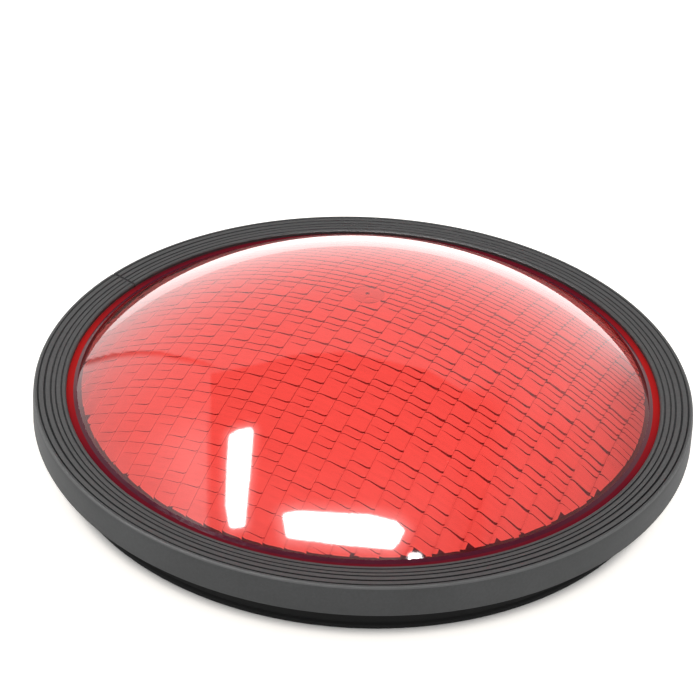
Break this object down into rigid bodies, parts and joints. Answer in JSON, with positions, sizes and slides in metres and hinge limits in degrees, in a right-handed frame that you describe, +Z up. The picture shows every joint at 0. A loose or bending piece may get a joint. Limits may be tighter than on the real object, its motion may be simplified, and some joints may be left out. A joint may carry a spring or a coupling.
{
  "type": "signal lamp lens",
  "caption": "Round red signal lens: a clear domed moulding, smooth outside and tiled with small prisms inside, held by its flange in a ribbed rubber ring.",
  "frame": {"origin": "on the table under the dome's apex, at the middle of the rubber ring's foot", "axes": "+Z up through the dome's apex, along the optical axis; the columns of tiles run along Y"},
  "size_m": [0.3164, 0.3164, 0.0696],
  "materials": {
    "red_plastic": "clear red, glossy",
    "black_rubber": "satin black, fine extrusion lines"
  },
  "bodies": {
    "root": {"lens": "red_plastic", "gasket": "black_rubber"}
  },
  "joints": []
}
